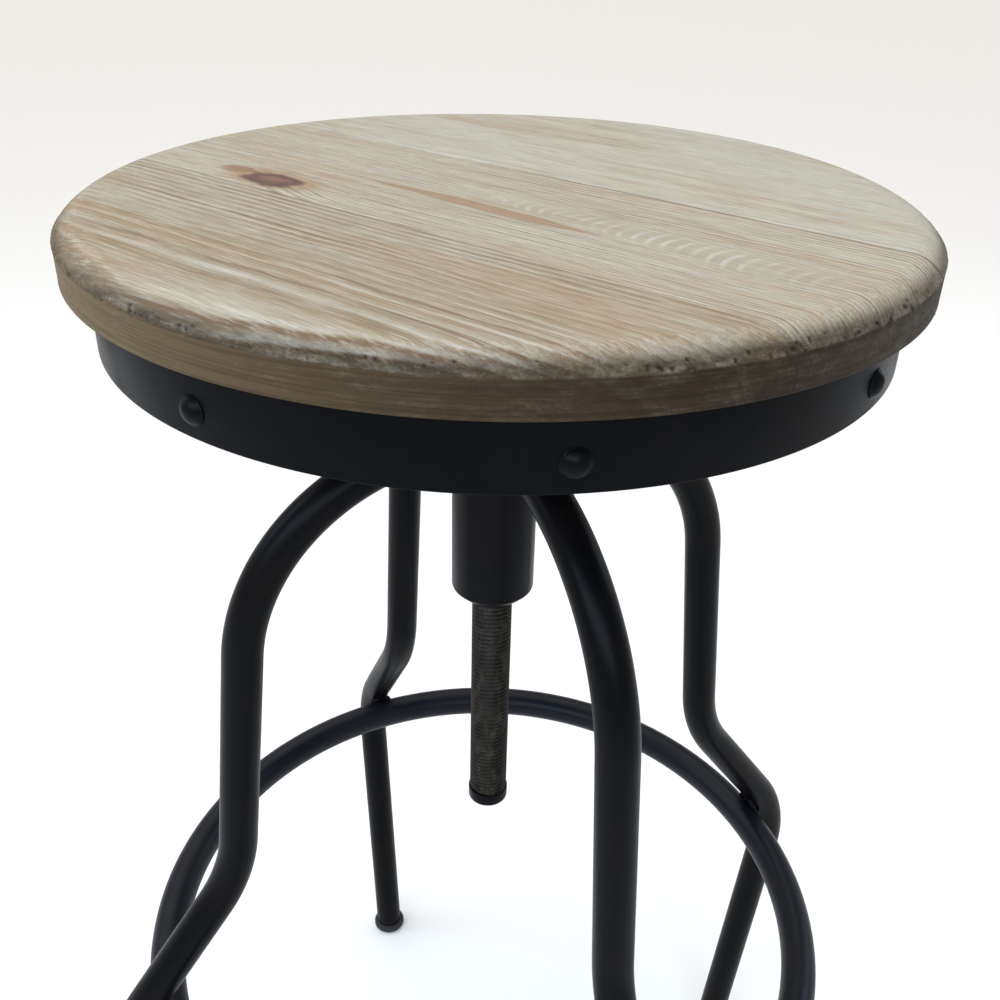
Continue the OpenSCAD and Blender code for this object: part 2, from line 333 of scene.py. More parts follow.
def wood(name, pith, spacing, contrast, tone, seed, knot=False, marks=False, seam=0.0):
    """Limed pine: growth rings about a pith line along X, fibres, white pores and a worn, darkened rim with
    painted shade towards its front and in its pits.

    pith is the line's Y and Z and spacing the rings' distance, in mm. tone is two ground colours, then
    that of the latewood and that of orange stripes.
    """
    k = Look(name, SEAT_ANGLE)
    x, y, z = k.parts(k.at)
    shift = (seed * 7.3, seed * 3.1, seed * 5.7)
    wander = k.noise((0.005, 0.016, 0.016), 2.0, 0.5, shift=shift)
    ripple = k.noise((0.012, 0.16, 0.16), 2.0, 0.5, shift=shift)
    off = k.plus(k.wobble(wander, 13.0), k.wobble(ripple, 1.2))
    across = k.minus(y, pith[0])
    depth = k.minus(z, pith[1])
    r = k.math("SQRT", k.plus(k.times(across, across), k.times(depth, depth)))
    r = k.plus(r, off)
    if knot:
        near = k.oval(x, y, KNOT_AT, KNOT_HALF)
        r = k.plus(r, k.times(k.math("EXPONENT", k.times(near, -1.0)), 9.0))
    phase = k.times(r, 1 / spacing)
    part = k.math("FRACT", phase)
    ring = k.node("ShaderNodeTexWhiteNoise", {"W": k.math("FLOOR", phase)}, noise_dimensions="1D").outputs[0]
    patch = k.range(k.noise((0.012, 0.03, 0.03), 2.0, 0.5, shift=(seed * 4.0, 2.0, 7.0)), 0.34, 0.62, 0.35, 1.0)
    strength = k.times(k.times(k.range(ring, 0.0, 1.0, 0.30, 1.0), contrast), patch)
    late = k.times(k.range(part, 0.38, 0.80), k.range(part, 0.86, 1.0, 1.0, 0.0))
    late = k.times(late, strength)
    late = k.math("MULTIPLY", late, k.range(z, TOP_Z * 1000 - 0.8, TOP_Z * 1000 - 4.0, 1.0, 1.7), clamp=True)
    lime = k.times(k.range(part, 0.0, 0.10), k.range(part, 0.42, 0.14))
    lime = k.times(lime, strength)

    broad = k.noise((0.008, 0.045, 0.045), 2.0, 0.5, shift=(seed * 1.7, 4.0, 1.0))
    fibre = k.noise((0.04, 1.0, 1.0), 4.0, 0.62, shift=shift)
    fine = k.noise((0.12, 3.0, 3.0), 2.0, 0.6, shift=shift)
    pores = k.range(k.noise((0.035, 1.3, 1.3), 2.0, 0.55, shift=(2.0, seed * 9.0, 3.0)), 0.55, 0.72)

    base = k.mix(k.range(broad, 0.36, 0.62), rgb(*tone[0]), rgb(*tone[1]))
    colour = k.mix(late, base, rgb(*tone[2]))
    orange = k.range(k.noise((0.006, 0.10, 0.10), 2.0, 0.5, shift=(9.0, seed * 2.0, 0.0)), 0.50, 0.70, 0.0, 0.60)
    colour = k.mix(orange, colour, rgb(*tone[3]))
    colour = k.mix(k.times(lime, 0.70), colour, rgb(206, 202, 190))
    colour = k.mix(k.range(fibre, 0.42, 0.72, 0.0, 0.50), colour, rgb(200, 194, 178))
    colour = k.mix(k.range(fibre, 0.50, 0.26, 0.0, 0.50), colour, rgb(132, 114, 90))
    colour = k.mix(k.times(pores, 0.36), colour, rgb(212, 210, 200))
    colour = k.mix(k.range(fine, 0.40, 0.70, 0.0, 0.34), colour, rgb(110, 96, 76))

    height = k.minus(k.times(late, 0.6), k.times(fibre, 0.55))
    if knot:
        wave = k.noise((0.07, 0.16, 0.05), 3.0, 0.6)
        edge = k.plus(near, k.wobble(wave, 1.2))
        halo = k.range(edge, 1.05, 0.20)
        core = k.plus(k.oval(x, y, CORE_AT, CORE_HALF), k.wobble(wave, 1.8))
        tail = k.plus(k.oval(x, y, TAIL_AT, TAIL_HALF), k.wobble(wave, 2.0))
        colour = k.mix(k.times(halo, 0.66), colour, rgb(160, 122, 84))
        colour = k.mix(k.range(tail, 1.1, 0.3, 0.0, 0.50), colour, rgb(122, 90, 72))
        colour = k.mix(k.range(core, 1.30, 0.70, 0.0, 0.90), colour, rgb(94, 68, 64))
        colour = k.mix(k.range(core, 0.50, 0.05, 0.0, 0.55), colour, rgb(150, 112, 92))
        # a resin streak that runs from behind the knot and ends in a point
        bend = k.times(k.math("SINE", k.times(x, 0.03)), 1.2)
        streak_y = k.plus(k.minus(y, STREAK_Y), bend)
        half = k.times(k.range(x, -62.0, 20.0, 0.9, 4.0), k.range(x, 34.0, 66.0, 1.0, 0.0, smooth=False))
        inside = k.math("DIVIDE", k.math("ABSOLUTE", streak_y), k.math("MAXIMUM", half, 0.05))
        inside = k.plus(inside, k.wobble(fibre, 0.8))
        streak = k.times(k.range(inside, 1.35, 0.60), k.range(x, -66.0, -40.0))
        colour = k.mix(k.times(streak, 0.66), colour, rgb(156, 120, 88))
        rim = k.times(k.range(inside, 0.55, 0.95), streak)
        colour = k.mix(k.times(rim, 0.45), colour, rgb(126, 88, 66))
    if marks:
        # whitish crescents that a planer left across the grain
        along = k.minus(x, MARKS_AT[0])
        aside = k.plus(k.minus(y, MARKS_AT[1]), k.times(along, MARKS_SLOPE))
        reach = k.range(x, 0.0, 110.0, 4.5, 12.0, smooth=False)
        aside = k.math("DIVIDE", aside, reach)
        bow = k.times(k.times(aside, aside), 4.0)
        wave = k.math("SINE", k.times(k.minus(along, bow), 2 * math.pi / MARKS_PITCH))
        window = k.times(k.range(x, -10.0, 30.0), k.range(x, 160.0, 125.0))
        window = k.times(window, k.range(k.math("ABSOLUTE", aside), 1.1, 0.5))
        patchy = k.range(k.noise((0.05, 0.1, 0.1), 2.0, 0.5), 0.35, 0.65, 0.15, 1.0)
        crescent = k.times(k.times(k.range(wave, 0.1, 0.9), window), patchy)
        colour = k.mix(k.times(window, 0.42), colour, rgb(172, 162, 142))
        colour = k.mix(k.times(crescent, 0.50), colour, rgb(202, 202, 194))
        height = k.plus(height, k.times(crescent, 0.5))

    # dirt in the glue line behind the middle board
    joint = k.math("ABSOLUTE", k.minus(y, SEAM_BACK * 1000))
    joint = k.times(k.range(joint, 0.9, 0.25), k.range(x, -90.0, 40.0, 0.25 * seam, seam))
    colour = k.mix(joint, colour, rgb(104, 80, 56))

    # the rounding is darkened, more towards the front as painted shade, and worn; the wall below its crisp line
    # is browner to the right, and the pits are darkened as painted shade
    line, top = LINE_Z * 1000, TOP_Z * 1000
    mottle = k.noise((0.09, 0.09, 0.30), 3.0, 0.6)
    scrub = k.noise((0.6, 0.9, 0.9), 3.0, 0.65, shift=(1.0, 5.0, 2.0))
    # painted shade: the rounding's colour gets darker towards the front
    frontward = k.minus(k.times(x, 0.62), k.times(y, 0.79))
    rounding = k.times(k.range(z, top - 0.4, line + 1.5), k.range(mottle, 0.30, 0.62, 0.68, 0.92))
    colour = k.mix(rounding, colour, k.mix(k.range(frontward, 30.0, 160.0), rgb(94, 78, 55), rgb(40, 31, 19)))
    worn = k.times(k.range(z, top - 1.0, line + 1.0), k.range(scrub, 0.54, 0.70, 0.0, 0.50))
    colour = k.mix(worn, colour, rgb(116, 102, 77))
    torn = k.times(k.range(z, line + 3.0, line + 0.3), k.range(scrub, 0.54, 0.38, 0.0, 0.80))
    colour = k.mix(torn, colour, rgb(72, 60, 42))
    layers = k.noise((0.012, 0.012, 1.3), 3.0, 0.6)
    wall = k.range(z, line - 0.1, line - 1.0)
    browner = k.range(x, -120.0, 165.0)
    colour = k.mix(k.times(wall, k.range(mottle, 0.25, 0.70, 0.70, 0.92)), colour,
                   k.mix(browner, rgb(118, 98, 68), rgb(40, 27, 14)))
    colour = k.mix(k.times(wall, k.range(layers, 0.42, 0.62, 0.0, 0.50)), colour,
                   k.mix(browner, rgb(80, 64, 42), rgb(26, 17, 9)))
    # painted shade: the pits' colour is darkened to stand for the shade in the holes
    pit = k.node("ShaderNodeAttribute", attribute_name="pit").outputs["Fac"]
    colour = k.mix(k.times(pit, 0.90), colour, rgb(44, 33, 22))
    rough = k.range(fibre, 0.3, 0.7, 0.56, 0.74)
    normal = k.bump(height, 0.35, 0.6)
    normal = k.bump(fine, 0.12, 0.5, normal)
    rim_height = k.times(scrub, k.range(z, top - 1.0, line + 1.0))
    normal = k.bump(rim_height, 0.35, 0.5, normal)
    return k.finish(colour, rough, normal, gloss=0.16)


def painted(name, tint=(8, 9, 12), rough=(0.29, 0.37), wear=0.2, gloss=0.06):
    """Satin black stoving paint over steel, with faint orange peel, dust and rubbed edges."""
    k = Look(name)
    cloud = k.noise((0.03, 0.03, 0.03), 3.0, 0.55)
    peel = k.noise((1.6, 1.6, 1.6), 2.0, 0.5)
    speck = k.noise((3.5, 3.5, 3.5), 1.0, 0.5)
    dark = rgb(*tint)
    brown = rgb(tint[0] + 8, tint[1] + 4, tint[2] + 1)
    colour = k.mix(k.range(cloud, 0.42, 0.70, 0.0, 0.7), dark, brown)
    edge = k.node("ShaderNodeNewGeometry").outputs["Pointiness"]
    rub = k.times(k.range(edge, 0.53, 0.60), k.range(speck, 0.35, 0.6))
    colour = k.mix(k.times(rub, wear), colour, rgb(84, 78, 74))
    dust = k.range(speck, 0.66, 0.78, 0.0, 0.04)
    colour = k.mix(dust, colour, rgb(80, 78, 78))
    roughness = k.plus(k.range(cloud, 0.3, 0.7, *rough), k.wobble(speck, 0.10))
    normal = k.bump(peel, 0.05, 0.35)
    normal = k.bump(cloud, 0.6, 0.25, normal)
    return k.finish(colour, roughness, normal, gloss)


def threaded(name):
    """Oiled screw steel with rubbed crests, browned in the roots and in patches."""
    k = Look(name)
    x, y, _ = k.parts(k.at)
    r = k.math("SQRT", k.plus(k.times(x, x), k.times(y, y)))
    rust = k.noise((0.22, 0.22, 0.10), 4.0, 0.65)
    grit = k.noise((2.2, 2.2, 2.2), 2.0, 0.5)
    crest = k.times(k.range(r, 9.0, 9.8), k.range(grit, 0.2, 0.6, 0.5, 1.0))
    colour = k.mix(k.range(rust, 0.35, 0.65), rgb(18, 16, 13), rgb(32, 23, 14))
    colour = k.mix(k.times(crest, 0.70), colour, rgb(42, 40, 32))
    colour = k.mix(k.range(rust, 0.60, 0.72, 0.0, 0.50), colour, rgb(80, 54, 34))
    metal = k.range(rust, 0.45, 0.68, 0.85, 0.25)
    roughness = k.plus(k.range(rust, 0.3, 0.7, 0.34, 0.62), k.times(grit, 0.08))
    k.put(k.shader.inputs["Metallic"], metal)
    return k.finish(colour, roughness, k.bump(grit, 0.08, 0.5))


def rubbery(name):
    """Moulded black rubber, scuffed in places."""
    k = Look(name)
    mould = k.noise((1.2, 1.2, 1.2), 3.0, 0.6)
    scuff = k.range(k.noise((0.25, 0.25, 0.6), 3.0, 0.6), 0.5, 0.75, 0.0, 0.35)
    colour = k.mix(scuff, rgb(30, 30, 31), rgb(84, 80, 76))
    return k.finish(colour, k.range(mould, 0.3, 0.7, 0.62, 0.82), k.bump(mould, 0.08, 0.5))


WOOD_BACK = wood("pine_back", (104.0, 540.0), 4.6, 0.45,
                 ((184, 177, 160), (190, 185, 170), (160, 142, 118), (178, 156, 130)), 1, seam=0.75)
WOOD_MIDDLE = wood("pine_middle", (66.0, 606.0), 1.9, 0.90,
                   ((184, 176, 158), (176, 164, 140), (134, 112, 88), (174, 146, 114)), 2,
                   knot=True, marks=True, seam=0.75)
WOOD_FRONT = wood("pine_front", (-158.0, 606.0), 3.3, 1.0,
                  ((171, 161, 140), (158, 141, 113), (122, 96, 69), (157, 125, 90)), 3)
WOOD_UNDER = wood("pine_under", (20.0, 500.0), 4.5, 0.60,
                  ((160, 142, 110), (170, 152, 120), (130, 102, 72), (154, 122, 88)), 5)
BLACK = painted("black_steel")
BLACK_BAND = painted("black_band", tint=(7, 9, 12), rough=(0.34, 0.44), gloss=0.04)
# painted sheen: the ring's paint is tinted bluer than the legs' to stand for the bluish sheen of the windows on
# it
BLACK_RING_BLUE_SHEEN = painted("black_ring_blue_sheen", tint=(10, 14, 23), rough=(0.34, 0.44), gloss=0.16)
WELD = painted("black_weld", tint=(13, 13, 17), rough=(0.34, 0.50), wear=0.15)
SCREW = threaded("screw_steel")
RUBBER = rubbery("black_rubber")


# ---------- seat boards ----------

def seat_profile():
    """Outline of the seat from the middle of its top, over the rim, to the middle of its underside."""
    arc_r = SEAT_R + RIM_OVERSHOOT - RIM_ROUND
    end = math.asin((LINE_Z - TOP_Z + RIM_ROUND) / RIM_ROUND)
    points = [(0.0, TOP_Z)] + [(0.006 * i, TOP_Z) for i in range(1, 27)]
    for i in range(41):
        a = math.pi / 2 - (math.pi / 2 - end) * i / 40
        points.append((arc_r + RIM_ROUND * math.cos(a), TOP_Z - RIM_ROUND + RIM_ROUND * math.sin(a)))
    wall = LINE_Z - BOARD_Z
    for f in (0.02, 0.05, 0.09, 0.15, 0.22, 0.30, 0.38, 0.46, 0.54, 0.62, 0.70, 0.78, 0.86, 0.92):
        points.append((SEAT_R, LINE_Z - wall * f))
    points += [(SEAT_R - 0.00005, BOARD_Z + 0.0004), (SEAT_R - 0.0004, BOARD_Z)]
    points += [(r, BOARD_Z) for r in (0.166, 0.156, 0.12, 0.06)] + [(0.0, BOARD_Z)]
    return points


def relief(co, normal):
    """How deep each point of the seat lies under the smooth shape, in metres, and how much of a pit it is in."""
    x, y, z = (co * 1000).T
    turn = np.arctan2(y, x)
    end_grain = np.abs(np.cos(turn))
    up = normal[:, 2]
    line, top = LINE_Z * 1000, TOP_Z * 1000
    # hand-worn unevenness and brushed grain
    depth = 0.10 + 0.08 * noise3(x / 40, y / 22, z / 14, 3) + 0.05 * noise3(x / 30, y / 1.6, z / 1.6, 4)
    edge_zone = step(top - 0.4, top - 4.5, z) * step(line - 3, line - 0.5, z)
    rough_zone = edge_zone * (0.25 + 0.75 * end_grain)
    depth += rough_zone * 0.16 * (1 + noise3(x / 9, y / 1.3, z / 1.3, 5))
    # torn grain along the crisp line, with pits where the ends of the fibres lie open
    near_line = np.exp(-((z - line - 1.0) / 2.0) ** 2)
    degrees = np.degrees(turn)
    front_right = step(-52, -38, degrees) * step(14, -2, degrees)
    front = np.exp(-((degrees + 84) / 22) ** 2)
    where = np.maximum(front_right, 0.75 * front)
    spots = noise3(x / 1.5, y / 1.3, z / 3.2, 6) + 0.5 * noise3(x / 0.9, y / 0.9, z / 1.6, 7)
    bias = noise3(x / 16, y / 16, z / 40, 8)
    open_at = 1.05 - 0.75 * near_line * (0.15 + 0.85 * where) - 0.25 * bias
    pit = step(open_at, open_at + 0.3, spots) * step(line - 1.5, line + 0.2, z) * step(top - 1.0, top - 4, z)
    low_wall = step(line - 4, line - 9, z) * step(BOARD_Z * 1000 - 1, BOARD_Z * 1000 + 1, z)
    worm = step(0.88, 1.05, noise3(x / 2.0, y / 1.6, z / 2.6, 9) + 0.35 * bias) * low_wall * front_right
    pit = np.maximum(pit, worm)
    depth += 0.55 * pit
    # the wall stands back a little under the line
    depth += 0.30 * step(line + 0.05, line - 0.5, z) * step(BOARD_Z * 1000 - 0.1, BOARD_Z * 1000 + 0.3, z)
    depth += 0.25 * np.exp(-((z - line + 0.7) / 0.5) ** 2) * step(-0.2, 0.5, noise3(x / 7, y / 7, z, 10))
    # softened edges at the glue lines
    for seam, width, amount in ((SEAM_BACK * 1000, 0.9, 0.55), (SEAM_FRONT * 1000, 0.7, 0.30)):
        uneven = 0.65 + 0.35 * noise3(x / 18, y * 0, z * 0, 11)
        depth += amount * uneven * np.exp(-((y - seam) / width) ** 2) * step(0.2, 0.6, up)
    under = up < -0.5
    depth = np.where(under, 0.02, np.maximum(depth, 0.0))
    return depth / 1000, np.where(under, 0, pit)


def cut(bm, height, keep_above=None):
    """Cuts the seat along the grain at one Y; keeps one side and closes it, or only adds the edges."""
    geometry = bm.verts[:] + bm.edges[:] + bm.faces[:]
    bmesh.ops.bisect_plane(bm, geom=geometry, dist=1e-7, plane_co=(0, height, 0), plane_no=(0, 1, 0),
                           clear_inner=keep_above is True, clear_outer=keep_above is False)
    if keep_above is None:
        return
    rim = [e for e in bm.edges if e.is_boundary]
    made = bmesh.ops.holes_fill(bm, edges=rim, sides=0)
    for face in made["faces"]:
        face.material_index = 1


def seat_board(name, from_y, to_y, material):
    """The part of the seat between two Y heights across the grain; None leaves that side round."""
    bm = bmesh.new()
    revolve(bm, seat_profile(), SEAT_SIDES, closed=False)
    for y, above in ((from_y, True), (to_y, False)):
        if y is not None:
            cut(bm, y, above)
            side = 1 if above else -1
            # two more rows of edges beside the glue line, for its softened edge
            for extra in (0.0006, 0.0014):
                cut(bm, y + side * extra)
    bmesh.ops.recalc_face_normals(bm, faces=bm.faces)
    bm.normal_update()
    co = np.array([v.co for v in bm.verts])
    # the cut faces stay flat, so only the outer skin's direction counts
    normal = np.zeros_like(co)
    skin = [f for f in bm.faces if f.material_index == 0]
    for f in skin:
        for v in f.verts:
            normal[v.index] += f.normal * f.calc_area()
    normal /= np.maximum(np.linalg.norm(normal, axis=1, keepdims=True), 1e-12)
    depth, pit = relief(co, normal)
    moved = normal * depth[:, None]
    on_cut = np.zeros(len(co), bool)
    for f in bm.faces:
        if f.material_index:
            for v in f.verts:
                on_cut[v.index] = True
            for e in f.edges:
                e.smooth = False
            f.smooth = False
            f.material_index = 0
        else:
            f.smooth = True
    moved[on_cut, 1] = 0
    for v, shift in zip(bm.verts, moved):
        v.co -= Vector(shift)
    bmesh.ops.rotate(bm, matrix=Matrix.Rotation(SEAT_ANGLE, 3, "Z"), verts=bm.verts)
    mesh = bpy.data.meshes.new(name)
    bm.to_mesh(mesh)
    bm.free()
    mesh.attributes.new("pit", "FLOAT", "POINT").data.foreach_set("value", pit.astype(np.float32))
    mesh.materials.append(material)
    obj = bpy.data.objects.new(name, mesh)
    bpy.context.scene.collection.objects.link(obj)
    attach(obj, "seat")
    return obj


for part, low, high, look in (("back", SEAM_BACK + GLUE_LINE / 2, None, WOOD_BACK),
                              ("middle", SEAM_FRONT + GLUE_LINE / 2, SEAM_BACK - GLUE_LINE / 2, WOOD_MIDDLE),
                              ("front", None, SEAM_FRONT - GLUE_LINE / 2, WOOD_FRONT)):
    board = seat_board("board_" + part, low, high, look)
    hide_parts("seat_board_" + part)


# ---------- band and nails ----------

low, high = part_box("seat_band")
BAND_R = high.x
bm = bmesh.new()
strip = [(BAND_R - BAND_T, low.z), (BAND_R, low.z), (BAND_R, high.z), (BAND_R - BAND_T, high.z)]
revolve(bm, softened(strip, 0.0006), BAND_SIDES)
band = new_object("band_strip", bm, BLACK_BAND)
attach(band, "seat")
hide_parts("seat_band")

nail_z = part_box("seat_backing_disc")[0].z + NAIL_ABOVE_BACKING
bm = bmesh.new()
for i in range(NAIL_COUNT):
    turn = FIRST_NAIL + 2 * math.pi * i / NAIL_COUNT
    ball = (NAIL_HEAD_R ** 2 + NAIL_HEAD_H ** 2) / (2 * NAIL_HEAD_H)
    profile = [(0.0, NAIL_HEAD_H)]
    for j in range(1, 15):
        r = NAIL_HEAD_R * 0.97 * math.sin(j / 14 * math.pi / 2)
        profile.append((r, NAIL_HEAD_H - ball + math.sqrt(ball * ball - r * r)))
    profile += [(NAIL_HEAD_R, 0.00022), (NAIL_HEAD_R, -0.00004), (0.0020, -0.00004), (0.0020, -0.0138),
                (0.0, -0.0144)]
    place = (Matrix.Rotation(turn, 4, "Z") @ Matrix.Translation((BAND_R + 0.0001, 0, nail_z))
             @ Matrix.Rotation(math.radians(90), 4, "Y") @ Matrix.Rotation(i * 1.7, 4, "Z"))
    rows = revolve(bm, profile, 40, closed=False, place=place)
    # hammered a little out of true
    for v in {v for row in rows[:16] for v in row}:
        if v.co.xy.length > BAND_R + 0.0006:
            d = np.array([[v.co.x, v.co.y, v.co.z]]) * 1000 / 2.6
            out = Vector((math.cos(turn), math.sin(turn), 0))
            v.co -= out * float((0.00009 * (1 + noise3(d[:, 0], d[:, 1], d[:, 2], i)))[0])
nails = new_object("nails", bm, BLACK)
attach(nails, "seat")
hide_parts("band_nails")


# ---------- lift screw ----------

screw_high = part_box("lift_screw")[1]
stop_low, stop_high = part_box("screw_end_stop")
CREST_R = screw_high.x - 0.00002
ROOT_R = screw_high.x - THREAD_DEPTH - 0.00002
start_z, end_z = stop_high.z + 0.00005, screw_high.z - 0.00005
bm = bmesh.new()
turns = int((screw_high.z - start_z) / PITCH) + 4
# one turn of the thread as (share of the pitch, radius)
shape = ((0.00, CREST_R), (0.10, CREST_R), (0.40, ROOT_R), (0.56, ROOT_R), (0.90, CREST_R))
rows = [[bm.verts.new((r * math.cos(2 * math.pi * i / SCREW_SIDES), r * math.sin(2 * math.pi * i / SCREW_SIDES),
                       start_z + PITCH * (t + offset + i / SCREW_SIDES))) for i in range(SCREW_SIDES)]
        for t in range(-2, turns) for offset, r in shape]
for n, row in enumerate(rows):
    for i in range(SCREW_SIDES):
        j = (i + 1) % SCREW_SIDES
        # after a whole turn the surface carries on one pitch higher
        up_i, here_j, up_j = n + 1, n, n + 1
        if j == 0:
            here_j, up_j = n + len(shape), n + 1 + len(shape)
        if up_j < len(rows) and up_i < len(rows):
            bm.faces.new((row[i], rows[here_j][j], rows[up_j][j], rows[up_i][i]))
for z, side in ((start_z, 1), (end_z, -1)):
    geometry = bm.verts[:] + bm.edges[:] + bm.faces[:]
    bmesh.ops.bisect_plane(bm, geom=geometry, dist=1e-8, plane_co=(0, 0, z), plane_no=(0, 0, side),
                           clear_inner=True)
    rim = [e for e in bm.edges if e.is_boundary and abs(e.verts[0].co.z - z) < 1e-6]
    made = bmesh.ops.holes_fill(bm, edges=rim, sides=0)
    for f in made["faces"]:
        for e in f.edges:
            e.smooth = False
thread = new_object("screw_thread", bm, SCREW)
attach(thread, "seat")
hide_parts("lift_screw")

r = stop_high.x
bm = bmesh.new()
skin = softened([(r - 0.0016, stop_low.z), (r, stop_low.z + 0.0012), (r, stop_high.z),
                 (0.0072, stop_high.z), (0.0072, stop_high.z - 0.005)], 0.0006, closed=False)
revolve(bm, [(0.0, stop_low.z)] + skin + [(0.0, stop_high.z - 0.005)], 64, closed=False)
stop = new_object("screw_stop", bm, BLACK)
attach(stop, "rise")
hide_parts("screw_end_stop")


# ---------- hub ----------

low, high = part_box("hub_sleeve")
bm = bmesh.new()
tube = [(HUB_BORE, low.z), (HUB_R - HUB_CHAMFER, low.z), (HUB_R, low.z + HUB_CHAMFER),
        (HUB_R, high.z), (HUB_BORE, high.z)]
revolve(bm, softened(tube, 0.0007), HUB_SIDES)
hub = new_object("hub_tube", bm, BLACK)
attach(hub, "base")
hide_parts("hub_sleeve")


# ---------- legs ----------

def leg_line():
    """Centre line of a leg as (distance from the middle, height), and the centre of its lowest bend."""
    at, heading, points = Vector((HUB_R - 0.0012, ARM_Z)), 0.0, []

    def ahead(length, parts):
        nonlocal at
        way = Vector((math.cos(heading), -math.sin(heading)))
        for i in range(1, parts + 1):
            points.append(at + way * length * i / parts)
        at = at + way * length

    def bend(radius, angle, parts):
        nonlocal at, heading
        side = 1 if angle > 0 else -1
        centre = at + radius * side * Vector((-math.sin(heading), -math.cos(heading)))
        for i in range(1, parts + 1):
            h = heading + angle * i / parts
            points.append(centre - radius * side * Vector((-math.sin(h), -math.cos(h))))
        at, heading = points[-1].copy(), heading + angle

    arm = HUB_R + 0.005
    top_end = Vector((arm + TOP_BEND_R * math.cos(UPPER_LEAN), ARM_Z - TOP_BEND_R * (1 - math.sin(UPPER_LEAN))))
    centre = Vector((BULGE_R - BULGE_BEND_R, BULGE_Z))
    bulge_start = centre + BULGE_BEND_R * Vector((math.cos(KNEE_LEAN), math.sin(KNEE_LEAN)))
    chord = KNEE_BEND_R * Vector((math.cos(UPPER_LEAN) - math.cos(KNEE_LEAN),
                                  math.sin(UPPER_LEAN) - math.sin(KNEE_LEAN)))
    rest = bulge_start - top_end - chord
    turn = KNEE_LEAN - UPPER_LEAN
    upper = -rest.dot(Vector((math.cos(KNEE_LEAN), math.sin(KNEE_LEAN)))) / math.sin(turn)
    slant = rest.dot(Vector((math.cos(UPPER_LEAN), math.sin(UPPER_LEAN)))) / math.sin(turn)
    points.append(at.copy())
    ahead(arm - at.x, 2)
    bend(TOP_BEND_R, math.pi / 2 - UPPER_LEAN, 42)
    ahead(upper, 12)
    bend(KNEE_BEND_R, -turn, 16)
    ahead(slant, 8)
    bend(BULGE_BEND_R, KNEE_LEAN + LOWER_LEAN, 24)
    ahead((at.y - GLIDE_T) / math.cos(LOWER_LEAN), 16)
    return points, centre


# the ring lies against the inside of the legs' lowest bend, a little above its centre
LINE, BULGE_CENTRE = leg_line()
RING_TO_BULGE = BULGE_BEND_R - 2 * TUBE_R - 0.0001
RING_TILT = math.asin(RING_UP / RING_TO_BULGE)
RING_R = BULGE_CENTRE.x + math.sqrt(RING_TO_BULGE ** 2 - RING_UP ** 2)
RING_Z = BULGE_Z + RING_UP
for side, degrees in LEGS.items():
    turn = math.radians(degrees)
    bm = bmesh.new()
    path = [(p.x * math.cos(turn), p.x * math.sin(turn), p.y) for p in LINE]
    sweep(bm, path, TUBE_R, TUBE_SIDES, end_height=GLIDE_T)
    leg = new_object("leg_" + side, bm, BLACK, smooth=False)
    for polygon in leg.data.polygons:
        polygon.use_smooth = len(polygon.vertices) == 4
    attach(leg, "base")
    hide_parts(side + "_leg")

bm = bmesh.new()
sweep(bm, circle(RING_R, RING_Z, RING_STEPS), TUBE_R, TUBE_SIDES, closed=True)
# the ring's material holds a painted bluish sheen in its tint
ring = new_object("footrest_tube", bm, BLACK_RING_BLUE_SHEEN)
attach(ring, "base")
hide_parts("footrest_ring")


def bead(bm, points, size, seed, ripples):
    """A weld bead on a closed line: overlapping ripples of uneven size."""
    radii = []
    for i, p in enumerate(points):
        t = i / len(points)
        ripple = abs(math.sin(math.pi * ripples * t))
        uneven = float(noise3(np.array([p[0] * 300]), np.array([p[1] * 300]), np.array([p[2] * 300]), seed)[0])
        radii.append(size * (0.86 + 0.14 * ripple + 0.10 * uneven))
    sweep(bm, points, radii, 14, closed=True)


def hub_bead_point(t, out, aside):
    """Where an arm meets the hub: a circle round the arm, bent about the hub."""
    a, b = (TUBE_R + WELD_OUT) * math.sin(t), (TUBE_R + WELD_OUT) * math.cos(t)
    return out * (math.sqrt(HUB_R ** 2 - a * a) + WELD_OUT) + aside * a + Vector((0, 0, ARM_Z + b))


def ring_bead_point(t, out, aside):
    """Where a leg and the ring touch: a circle that follows both tubes."""
    u, v = RING_WELD_R * math.cos(t), RING_WELD_R * math.sin(t)
    lift = (v * v - u * u) / (4 * TUBE_R)
    middle = RING_TO_BULGE + TUBE_R + 0.00005 + lift
    c, s = math.cos(RING_TILT), math.sin(RING_TILT)
    return (out * (BULGE_CENTRE.x + middle * c - v * s) + aside * u
            + Vector((0, 0, BULGE_CENTRE.y + middle * s + v * c)))


for name, node, point, count, size, ripples in (
        ("hub_beads", "hub_welds", hub_bead_point, 176, 0.0024, 22),
        ("ring_beads", "ring_welds", ring_bead_point, 132, 0.0021, 14)):
    bm = bmesh.new()
    for n, degrees in enumerate(LEGS.values()):
        turn = math.radians(degrees)
        out, aside = Vector((math.cos(turn), math.sin(turn), 0)), Vector((-math.sin(turn), math.cos(turn), 0))
        bead(bm, [point(2 * math.pi * i / count, out, aside) for i in range(count)], size, 20 + n, ripples)
    weld = new_object(name, bm, WELD)
    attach(weld, "base")
    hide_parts(node)

bm = bmesh.new()
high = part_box("spindle_welds")[1]
collar_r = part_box("spindle_collar")[1].x
bead(bm, circle(collar_r + WELD_OUT, high.z - 0.0007, 200), 0.0024, 31, 40)
weld = new_object("spindle_bead", bm, WELD)
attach(weld, "seat")
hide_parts("spindle_welds")


# ---------- glides ----------

FOOT_R = LINE[-1].x - GLIDE_T * math.tan(LOWER_LEAN)
